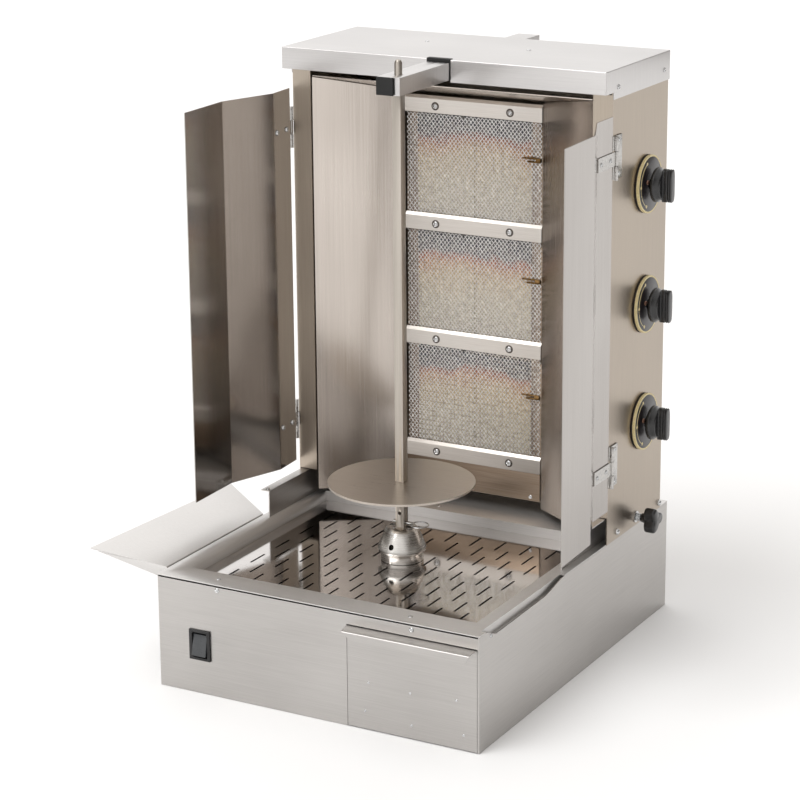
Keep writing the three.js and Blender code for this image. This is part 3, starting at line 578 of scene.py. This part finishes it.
finishedCopy("hoodSheet", "hood", hoodSteel, hood["edge"], hood["bend"], hoodBend)
finishedCopy("hoodSlotTrim", "slot_trim", rubberTrim, 0.3)
for name, node, material, edge in [
        ("sidePanelRight", "column_side_right", uprightSteel, 0.0),
        ("sidePanelLeft", "column_side_left", uprightSteel, 0.0),
        ("backPanel", "column_back", uprightSteel, 0.0),
        ("columnFloor", "column_floor", uprightSteel, 0.0),
        ("slideFootRight", "column_foot_right", wrapSteel, 0.0),
        ("slideFootLeft", "column_foot_left", wrapSteel, 0.0),
        ("apronSheet", "burner_apron", hotSteel, 0.2),
        ("reflectorRight", "reflector_right", reflectorSteel, 0.3),
        ("reflectorLeft", "reflector_left", reflectorSteel, 0.3),
        ("ceilingSheet", "ceiling_deflector", reflectorSteel, 0.2),
        ("manifoldPipe", "gas_manifold", brassTurned, 0.4)]:
    finishedCopy(name, node, material, edge)
for i in (1, 2, 3):
    finishedCopy(f"burnerCasing{i}", f"burner_casing_{i}", hotSteel, 0.25)
    finishedCopy(f"ceramicPlate{i}", f"burner_ceramic_{i}", ceramicPlate, 0.2)
    finishedCopy(f"gasValve{i}", f"gas_valve_{i}", brassTurned, 0.8)

# Screws and rivets of the column, as (name, places, normal, radius, height, cross).
columnScrews = [
    ("hoodRivets", [(-92, 194, hood["top"]), (78, 186, hood["top"])], (0, 0, 1), 3.4, 1.0, False),
    ("hoodScrewsRight", [(hood["halfWidth"], y, 833) for y in (98, 256)], (1, 0, 0), 3.6, 1.8, True),
    ("hoodScrewsLeft", [(-hood["halfWidth"], y, 833) for y in (98, 256)], (-1, 0, 0), 3.6, 1.8, True),
    ("footNutsRight", [(257.2, 117, 179), (257.2, 269, 177)], (1, 0, 0), 4.6, 5.0, False),
    ("footNutsLeft", [(-257.2, 117, 179), (-257.2, 269, 177)], (-1, 0, 0), 4.6, 5.0, False),
    ("footTopScrews", [(-247, -26, 208), (247, -26, 208)], (0, 0, 1), 3.4, 1.8, True),
    ("apronScrew", [(97.5, burners["frontY"], 193.7)], (0, -1, 0), 3.0, 1.5, True),
    ("backScrews", [(x, 273.2, z) for x in (-246, 246) for z in (260, 520, 780)], (0, 1, 0), 3.4, 1.7, True),
]
for name, places, normal, radius, height, cross in columnScrews:
    screwHeads(name, "column", places, normal, radius, height, cross)

# Bars that clamp the burners: a strip with its top edge bent back, in one sheet bent along X.
bars = {"height": 21, "levels": [770.3, 593.9, 417.5, 241.1], "sheet": 1.4, "bend": 1.6, "lipBack": 3.7,
        "lipUp": 4.6, "edge": 0.2, "screwX": 61}


def clampBar(number, level):
    y, top = burners["frontY"], level + bars["height"] / 2
    strip = [(y, level - bars["height"] / 2), (y, top), (y + bars["lipBack"], top + bars["lipUp"])]
    outline = sheetOutline(filletPath(strip, bars["bend"]), -bars["sheet"])
    points, faces = prism(outline, "x", -burners["halfWidth"], burners["halfWidth"])
    node = f"burner_bar_{number}"
    bar = makePiece(f"clampBar{number}", points, faces, barSteel, "column", [node])
    return roundEdges(bar, bars["edge"])


for number, level in enumerate(bars["levels"], 1):
    clampBar(number, level)
barScrews = [(x, burners["frontY"], z) for x in (-bars["screwX"], bars["screwX"]) for z in bars["levels"]]
screwHeads("barWashers", "column", barScrews, (0, -1, 0), 6.2, 0.9, cross=False, material=hotPlate)
screwHeads("barScrews", "column", barScrews, (0, -1, 0), 4.4, 2.6)

# Expanded metal: strand s is a zigzag x = (s + (s + j) mod 2) * pitch / 2 at height j * rise / 2,
# with a depth that goes in and out by weave at every step, and a flat four-sided section.
screen = {"pitch": 6.2, "rise": 7.6, "strand": 1.35, "thick": 0.6, "weave": 0.6, "halfWidth": 111.0,
          "halfHeight": 76.5, "y": 164.9}


def burnerScreen(number, level):
    strands = int(2 * screen["halfWidth"] / screen["pitch"] * 2)
    steps = int(2 * screen["halfHeight"] / screen["rise"] * 2) + 1
    s, j = np.meshgrid(np.arange(strands), np.arange(steps), indexing="ij")
    x = (s + (s + j) % 2) * screen["pitch"] / 2 - strands * screen["pitch"] / 4
    z = level + (j - (steps - 1) / 2) * screen["rise"] / 2
    y = screen["y"] + (j % 2 - 0.5) * screen["weave"]
    w, t = screen["strand"] / 2, screen["thick"] / 2
    corners = np.array([(-w, -t), (w, -t), (w, t), (-w, t)])
    points = np.stack([x, y, z], -1)[:, :, None] + np.insert(corners, 2, 0, axis=1)
    sides = gridFaces(steps, 4, closeColumns=True)
    ends = np.array([[0, 1, 2, 3], [steps * 4 - 4, steps * 4 - 3, steps * 4 - 2, steps * 4 - 1]])
    faces = repeatFaces(np.vstack([sides, ends]), strands, steps * 4)
    node = f"burner_mesh_{number}"
    return makePiece(f"expandedScreen{number}", points, faces, meshSteel, "column", [node],
                     limit=30)


for number in (1, 2, 3):
    burnerScreen(number, burners["middle"] + (2 - number) * burners["pitch"])

# Igniter and thermocouple tips beside each burner: two thin rods with a hex body and a wire, each
# as (radius, low, high, sides, rise) along X.
igniters = {"x": 104, "y": 163.0, "levels": [703.5, 524.0, 348.0], "chamfer": 0.4,
            "rods": [(1.3, -16, 4, 12, 2.5), (1.3, -16, 4, 12, -2.5), (3.2, -2, 6, 6, 0),
                     (1.0, -24, -14, 10, 2.5)]}


def igniterTips():
    parts = []
    for level in igniters["levels"]:
        for radius, low, high, sides, rise in igniters["rods"]:
            rod = [(0, low), (radius * 0.8, low), (radius, low + igniters["chamfer"]),
                   (radius, high - igniters["chamfer"]), (radius * 0.8, high), (0, high)]
            parts.append(turned(rod, (igniters["x"], igniters["y"], level + rise), "x", sides))
    points, faces = joined(parts)
    return makePiece("igniterTips", points, faces, darkBrass, "column")


igniterTips()
print("column and burners made")

# Dials: a turned plate with a chamfered rim. Its print is a pale rim, two arcs of
# (start, end, share of the width), and dots at three angles.
dials = {"x": 257.5, "y": 204, "levels": [677, 500, 323], "radius": 42, "thick": 6, "rim": 2.6, "hole": 8,
         "chamfer": 0.6, "shoulderIn": 1.6, "shoulderDeep": 3.8, "sides": 72,
         "screws": [(-11, 4), (11, -4)]}
dialPrint = {"arcRadius": 33.5, "arcWidth": 1.7, "arcs": [(112, 176, 1.0), (184, 246, 0.5)],
             "sunk": 0.1, "proud": 0.12, "rimFrom": 2.0, "dots": (112, 180, 246), "dotRadius": 2.4,
             "dotProud": 0.14}


def dialProfile():
    r, t, hole, chamfer = dials["radius"], dials["thick"], dials["hole"], dials["chamfer"]
    return [(hole, 0), (r - chamfer, 0), (r, chamfer), (r, t - dials["shoulderDeep"]),
            (r - dials["shoulderIn"], t - chamfer), (r - dials["rim"], t), (hole, t), (hole, 0)]


# A band on the dial's face: radius runs over the width, the angle from start to end, and the
# section is a thin rectangle from low to high. A full turn closes on itself.
def dialBand(centreZ, inner, outer, start, end, low, high, sides=60):
    a = np.radians(np.linspace(start, end, sides))
    closed = abs(end - start) >= 360
    if closed:
        a = a[:-1]
    section = np.array([(inner, low), (outer, low), (outer, high), (inner, high)])
    ring = np.stack([np.zeros_like(a), np.cos(a), np.sin(a)], 1)
    points = np.array([dials["x"], dials["y"], centreZ]) + section[None, :, :1] * ring[:, None, :]
    points[..., 0] += section[None, :, 1]
    faces = gridFaces(len(a), 4, closeRows=closed, closeColumns=True).tolist()
    if not closed:
        faces += [[0, 1, 2, 3], [len(a) * 4 - 4 + k for k in (0, 1, 2, 3)]]
    return points.reshape(-1, 3), faces


def gasDial(number, level):
    node = f"dial_plate_{number}"
    points, faces = turned(dialProfile(), (dials["x"], dials["y"], level), "x", dials["sides"])
    makePiece(f"dial{number}", points, faces, dialBlack, "column", [node])
    r, t, arc = dials["radius"], dials["thick"], dialPrint["arcRadius"]
    low, high, dotHigh = t - dialPrint["sunk"], t + dialPrint["proud"], t + dialPrint["dotProud"]
    parts = [dialBand(level, r - dials["rim"], r, 0, 360, dialPrint["rimFrom"], low, dials["sides"] + 1)]
    for start, end, share in dialPrint["arcs"]:
        half = dialPrint["arcWidth"] / 2 * share
        parts.append(dialBand(level, arc - half, arc + half, start, end, low, high))
    for angle in map(math.radians, dialPrint["dots"]):
        spot = (dials["x"], dials["y"] + arc * math.cos(angle), level + arc * math.sin(angle))
        dot = dialPrint["dotRadius"]
        parts.append(turned([(0, low), (dot, low), (dot, dotHigh), (0, dotHigh)], spot, "x", 20))
    points, faces = joined(parts)
    makePiece(f"dialPrint{number}", points, faces, dialCream, "column")


# Knob grip: the section at each height x is a rounded bar, |y / a|^n + |z / b|^n = 1 with n = 4,
# and a and b follow a profile with two shallow grooves, a soft top and a fillet at the skirt. The
# grooves are (place, width), and the skirt's profile is (drawn in from its radius, height).
knobs = {"skirtX": 272.2, "top": 298.2, "gripFrom": 12.0, "grip": (7.8, 24.0), "power": 0.5, "rings": 30,
         "sides": 56, "grooves": [(0.55, 0.06), (0.8, 0.05)], "grooveDepth": 0.07, "crownFrom": 0.9,
         "crownLength": 0.1, "crownDrop": 0.22, "crownTop": 0.78, "fillet": 0.25, "filletLength": 0.06,
         "skirtRadius": 25, "skirt": [(0.8, 0), (0, 0.8), (0, 4.6), (0.5, 5.4), (3.2, 8.0), (4.0, 11.4),
                                      (4.8, 12.6), (6.5, 13.2)],
         "spindle": [(0, -34), (4.2, -34), (4.5, -33.6), (4.5, 1), (0, 1)],
         "markX": 12.9, "markUp": 22, "mark": [(0, 0), (1.2, 0), (1.2, 0.3), (0, 0.3)]}


def knobGrip(level):
    sides = knobs["sides"]
    t = np.linspace(0, 1, knobs["rings"])[:, None]
    x = knobs["gripFrom"] + t * (knobs["top"] - knobs["skirtX"] - knobs["gripFrom"])
    groove = sum(knobs["grooveDepth"] * np.exp(-((t - place) / width) ** 2)
                 for place, width in knobs["grooves"])
    soft = np.sqrt(np.clip(1 - ((t - knobs["crownFrom"]) / knobs["crownLength"]) ** 2, 0, 1))
    crown = np.where(t > knobs["crownFrom"], soft * knobs["crownDrop"] + knobs["crownTop"], 1.0)
    size = (1 - groove) * crown * (1 + knobs["fillet"] * np.exp(-t / knobs["filletLength"]))
    a = np.arange(sides) * 2 * np.pi / sides
    across, along = knobs["grip"]
    y = np.sign(np.cos(a)) * abs(np.cos(a)) ** knobs["power"] * across * size
    z = np.sign(np.sin(a)) * abs(np.sin(a)) ** knobs["power"] * along * np.minimum(size, 1.0)
    ring = np.stack([np.broadcast_to(knobs["skirtX"] + x, y.shape), dials["y"] + y, level + z], -1)
    poles = np.stack([ring[0].mean(0), ring[-1].mean(0)])
    points = np.vstack([np.repeat(poles[:1], sides, 0), ring.reshape(-1, 3), np.repeat(poles[1:], sides, 0)])
    return points, gridFaces(len(t) + 2, sides, closeColumns=True)


def gasKnob(number, level):
    centre = (knobs["skirtX"], dials["y"], level)
    rim = [(knobs["skirtRadius"] - inset, height) for inset, height in knobs["skirt"]]
    skirt = turned([(0, 0), *rim, (0, rim[-1][1])], centre, "x", 64)
    spindle = turned(knobs["spindle"], centre, "x", 24)
    node = f"gas_knob_{number}"
    points, faces = joined([skirt, knobGrip(level), spindle])
    makePiece(f"gasKnob{number}", points, faces, phenolic, bodyOf[node], [node], limit=50)
    spot = (knobs["skirtX"] + knobs["markX"], dials["y"], level + knobs["markUp"])
    points, faces = turned(knobs["mark"], spot, "x", 12)
    makePiece(f"knobMark{number}", points, faces, markGrey, bodyOf[node])


for number, level in enumerate(dials["levels"], 1):
    gasDial(number, level)
    gasKnob(number, level)
dialScrews = [(dials["x"] + dials["thick"], dials["y"] + dy, level + dz)
              for level in dials["levels"] for dy, dz in dials["screws"]]
screwHeads("dialScrews", "column", dialScrews, (1, 0, 0), 3.4, 2.2, material=copperPlate)

# Lock knob: a three-lobed star, radius = arm + lobe * cos 3a, with soft ends and a neck, on a stud
# with a washer. Profiles are (radius, x).
lock = {"y": 185, "z": 181, "low": 275.2, "high": 293.0, "dish": 0.4, "arm": 15.5, "lobe": 5, "endSize": 0.80,
        "swell": 0.20, "softness": 0.22, "rings": 16, "sides": 72, "neckX": 267.2,
        "neck": [(0, 0), (6.0, 0), (6.6, 0.6), (7.4, 5), (9.0, 9.5), (0, 9.5)],
        "stud": [(0, 246.4), (3.4, 246.4), (3.9, 247.0), (3.9, 268.0), (0, 268.0)],
        "washer": [(4, 257.5), (8.6, 257.5), (8.6, 259.0), (4, 259.0), (4, 257.5)]}


def lockKnob():
    rings, sides = lock["rings"], lock["sides"]
    t = np.linspace(0, 1, rings)[:, None]
    edge = np.clip(np.minimum(t, 1 - t) / lock["softness"], 0, 1)
    size = lock["endSize"] + lock["swell"] * np.sqrt(1 - (1 - edge) ** 2)
    a = np.arange(sides) * 2 * np.pi / sides
    r = (lock["arm"] + lock["lobe"] * np.cos(3 * a)) * size
    x = np.broadcast_to(lock["low"] + t * (lock["high"] - lock["low"]), r.shape)
    ring = np.stack([x, lock["y"] + r * np.cos(a), lock["z"] + r * np.sin(a)], -1)
    poles = np.array([[x, lock["y"], lock["z"]] for x in (lock["low"], lock["high"] - lock["dish"])])
    star = np.vstack([np.repeat(poles[:1], sides, 0), ring.reshape(-1, 3), np.repeat(poles[1:], sides, 0)])
    neck = turned(lock["neck"], (lock["neckX"], lock["y"], lock["z"]), "x", 32)
    points, faces = joined([(star, gridFaces(rings + 2, sides, closeColumns=True)), neck])
    makePiece("lockStar", points, faces, phenolic, "lock", ["lock_knob"], limit=50)
    axis = (0, lock["y"], lock["z"])
    points, faces = joined([turned(lock["stud"], axis, "x", 24), turned(lock["washer"], axis, "x", 32)])
    makePiece("lockStud", points, faces, zincPlate, "lock")


# Spring: centre (x, R cos q, R sin q) with x rising evenly over its turns, and a round wire.
spring = {"start": 259.8, "length": 6.4, "turns": 4, "radius": 5.4, "wire": 0.7, "steps": 97, "sides": 8}


def lockSpring():
    steps, sides, wire = spring["steps"], spring["sides"], spring["wire"]
    q = np.linspace(0, 2 * np.pi * spring["turns"], steps)[:, None]
    b = np.arange(sides) * 2 * np.pi / sides
    x = spring["start"] + (q / q.max()) * spring["length"] + wire * np.sin(b)
    r = spring["radius"] + wire * np.cos(b)
    x = np.broadcast_to(x, (steps, sides))
    tube = np.stack([x, lock["y"] + r * np.cos(q), lock["z"] + r * np.sin(q)], -1)
    ends = [list(range(sides)), list(range((steps - 1) * sides, steps * sides))]
    faces = gridFaces(steps, sides, closeColumns=True).tolist() + ends
    return makePiece("lockSpring", tube, faces, zincPlate, "lock")


lockKnob()
lockSpring()
print("dials and knobs made")

# Wind doors: one sheet with two folds along Z, hung by two straps with a knuckle round the pin.
doors = {"path": [(261.0, 77), (261.0, 25.3), (297.5, -60.7), (301.5, -161)], "sheet": 1.5, "bend": 3.0,
         "edge": 0.3, "bottom": 222, "top": 795, "levels": [285, 735], "pinX": 262.5, "pinY": 86,
         "leftTurn": 3.8}
straps = {"inner": 261.0, "outer": 262.7, "tip": 27, "knuckle": 20.5, "play": 0.2, "radius": 3,
          "chamfer": 0.4, "edge": 0.25, "screws": (36, 66), "nutsIn": 3.2,
          "leafX": 259.3, "leafY": 103, "leafRise": 24}


# The right-hand piece as it is, or its mirror copy turned about the left hinge pin.
def onSide(points, side):
    if side > 0:
        return points
    turn = math.radians(doors["leftTurn"])
    pin = np.array([doors["pinX"], -doors["pinY"], 0])
    spin = np.array([(math.cos(turn), math.sin(turn), 0), (-math.sin(turn), math.cos(turn), 0), (0, 0, 1)])
    return (points * np.array([-1, 1, 1]) + pin) @ spin - pin


def doorStraps(side):
    half, r, chamfer = straps["knuckle"] / 2 - straps["play"], straps["radius"], straps["chamfer"]
    plan = np.array([(straps["inner"], straps["tip"]), (straps["outer"], straps["tip"]),
                     (straps["outer"], doors["pinY"]), (straps["inner"], doors["pinY"])])
    knuckle = [(0, -half), (r - chamfer, -half), (r, -half + chamfer),
               (r, half - chamfer), (r - chamfer, half), (0, half)]
    parts = []
    for level in doors["levels"]:
        parts.append(prism(plan, "z", level - half, level + half))
        parts.append(turned(knuckle, (doors["pinX"], doors["pinY"], level), "z", 24))
    points, faces = joined(parts)
    return onSide(points, side), faces


def windDoor(side, label):
    node, end = f"door_{label}", label.title()
    outline = sheetOutline(filletPath(doors["path"], doors["bend"]), -doors["sheet"])
    points, faces = prism(outline, "z", doors["bottom"], doors["top"])
    sheet = makePiece(f"doorSheet{end}", onSide(points, side), faces, doorSteel, node, [node])
    roundEdges(sheet, doors["edge"])
    points, faces = doorStraps(side)
    roundEdges(makePiece(f"doorStraps{end}", points, faces, hingeSteel, node), straps["edge"])
    places = np.array([(straps["outer"], y, level) for level in doors["levels"] for y in straps["screws"]])
    pastPin = onSide(np.array([(doors["pinX"] + 1.0, doors["pinY"], 0)]), side)[0]
    outward = pastPin - [side * doors["pinX"], doors["pinY"], 0]
    screwHeads(f"strapScrews{end}", node, onSide(places, side), outward, 3.4, 1.5)
    inside = onSide(places - np.array([straps["nutsIn"], 0, 0]), side)
    screwHeads(f"strapNuts{end}", node, inside, -outward, 4.2, 3.6, cross=False)


for side, label in ((1, "right"), (-1, "left")):
    windDoor(side, label)
    for level in ("lower", "upper"):
        finishedCopy(f"hingeLeaf{label.title()}{level.title()}", f"hinge_{label}_{level}", hingeSteel, 0.25)
    leafScrews = [(side * straps["leafX"], straps["leafY"], level + rise)
                  for level in doors["levels"] for rise in (-straps["leafRise"], straps["leafRise"])]
    screwHeads(f"leafScrews{label.title()}", "column", leafScrews, (side, 0, 0), 3.2, 1.4)
print("doors made")

# Spit, hub, disc and top arm: the modelled shapes, ground or turned.
finishedCopy("spitBar", "spit_bar", spitSteel, 0.5)
finishedCopy("spitHub", "drive_hub", hubNickel, 0.0)
finishedCopy("meatDisc", "meat_disc", discSteel, 0.0)
finishedCopy("topArm", "top_arm", hoodSteel, 0.6)
finishedCopy("armCap", "arm_end_cap", rubberTrim, 0.8)

# Lock pin: a shank with a chamfered end, and a split ring that is a torus of wire round ringRadius.
pin = {"y": -60, "z": 207, "shank": [(0, -14), (1.6, -14), (2.4, -13.2), (2.4, 17), (0, 17)],
       "ringX": 29, "ringRadius": 13, "wire": 1.0, "steps": 64, "sides": 10}


def lockPin():
    steps, sides, wire = pin["steps"], pin["sides"], pin["wire"]
    shank = turned(pin["shank"], (0, pin["y"], pin["z"]), "x", 16)
    a = np.arange(steps)[:, None] * 2 * np.pi / steps
    b = np.arange(sides)[None] * 2 * np.pi / sides
    r = pin["ringRadius"] + wire * np.cos(b)
    lift = np.broadcast_to(wire * np.sin(b), (steps, sides))
    ring = np.stack([pin["ringX"] + r * np.cos(a), pin["y"] + r * np.sin(a), pin["z"] + lift], -1)
    wireFaces = gridFaces(steps, sides, closeRows=True, closeColumns=True)
    points, faces = joined([shank, (ring.reshape(-1, 3), wireFaces)])
    return makePiece("lockPin", points, faces, zincPlate, "pin", ["lock_pin"])


lockPin()
print("spit and arm made")

# Floor: a wide pale painted slab, just under the object.
floor = {"half": 30.0, "level": -0.0005, "paint": "f6f6f6", "roughness": 0.9, "specular": 0.1}
floorMesh = bpy.data.meshes.new("floor")
floorMesh.from_pydata([(x * floor["half"], y * floor["half"], floor["level"])
                       for x, y in [(-1, -1), (1, -1), (1, 1), (-1, 1)]], [], [(0, 1, 2, 3)])
floorObject = bpy.data.objects.new("floor", floorMesh)
scene.collection.objects.link(floorObject)
floorPaint, tree, shader = newMaterial("floorPaintPale")
feed(tree, shader, {"Base Color": colour(floor["paint"]), "Roughness": floor["roughness"],
                    "Specular IOR Level": floor["specular"]})
floorMesh.materials.append(floorPaint)

# The room: brightness is a sum of soft patches, each a smooth step of the cosine between the
# direction looked in and the patch's own direction. A patch is (direction, low, high, strength).
room = {"ambient": "807b76", "ambientStrength": 1.0, "patches": [
    ((0.10, -0.99, 0.0), 0.50, 0.90, 0.80),
    ((-0.35, -0.93, 0.0), 0.82, 0.97, 0.40),
    ((-0.44, 0.80, 0.35), 0.62, 0.95, 0.95),
    ((0.0, 0.0, 1.0), 0.35, 0.95, 0.80),
]}
world = bpy.data.worlds.new("softRoom")
world.use_nodes = True
tree = world.node_tree
tree.nodes.clear()
look = addNode(tree, "ShaderNodeTexCoord").outputs["Generated"]
total = 0.0
for direction, low, high, strength in room["patches"]:
    unit = tuple(np.array(direction) / np.linalg.norm(direction))
    cosine = addNode(tree, "ShaderNodeVectorMath", {0: look, 1: unit}, operation="DOT_PRODUCT")
    patch = addNode(tree, "ShaderNodeMapRange", {"Value": cosine.outputs["Value"], "From Min": low,
                                                 "From Max": high, "To Min": 0.0, "To Max": strength},
                    interpolation_type="SMOOTHSTEP")
    total = sums(tree, "ADD", total, patch.outputs["Result"])
glow = addNode(tree, "ShaderNodeBackground", {"Color": (1, 1, 1, 1), "Strength": total})
ambient = addNode(tree, "ShaderNodeBackground", {"Color": colour(room["ambient"]),
                                                 "Strength": room["ambientStrength"]})
both = addNode(tree, "ShaderNodeAddShader", {0: glow.outputs[0], 1: ambient.outputs[0]})
addNode(tree, "ShaderNodeOutputWorld", {"Surface": both.outputs[0]})
scene.world = world

# One soft high lamp, and the camera.
key = {"energy": 1.4, "angle": 40, "turn": (38, 0, -32)}
lamp = bpy.data.lights.new("keyLight", "SUN")
lamp.energy = key["energy"]
lamp.angle = math.radians(key["angle"])
lampObject = bpy.data.objects.new("keyLight", lamp)
lampObject.rotation_euler = [math.radians(a) for a in key["turn"]]
scene.collection.objects.link(lampObject)

view = {"place": (1.7057, -3.1309, 1.4420), "turn": (74.648, 0.440, 28.938), "lens": 116.456,
        "shiftY": -0.075, "sensor": 36.0, "farEnd": 200.0}
camera = bpy.data.cameras.new("camera")
camera.lens = view["lens"]
camera.sensor_width = view["sensor"]
camera.shift_y = view["shiftY"]
camera.clip_end = view["farEnd"]
cameraObject = bpy.data.objects.new("camera", camera)
cameraObject.location = view["place"]
cameraObject.rotation_euler = [math.radians(a) for a in view["turn"]]
scene.collection.objects.link(cameraObject)
scene.camera = cameraObject
scene.view_settings.view_transform = "Standard"
print("stage made")
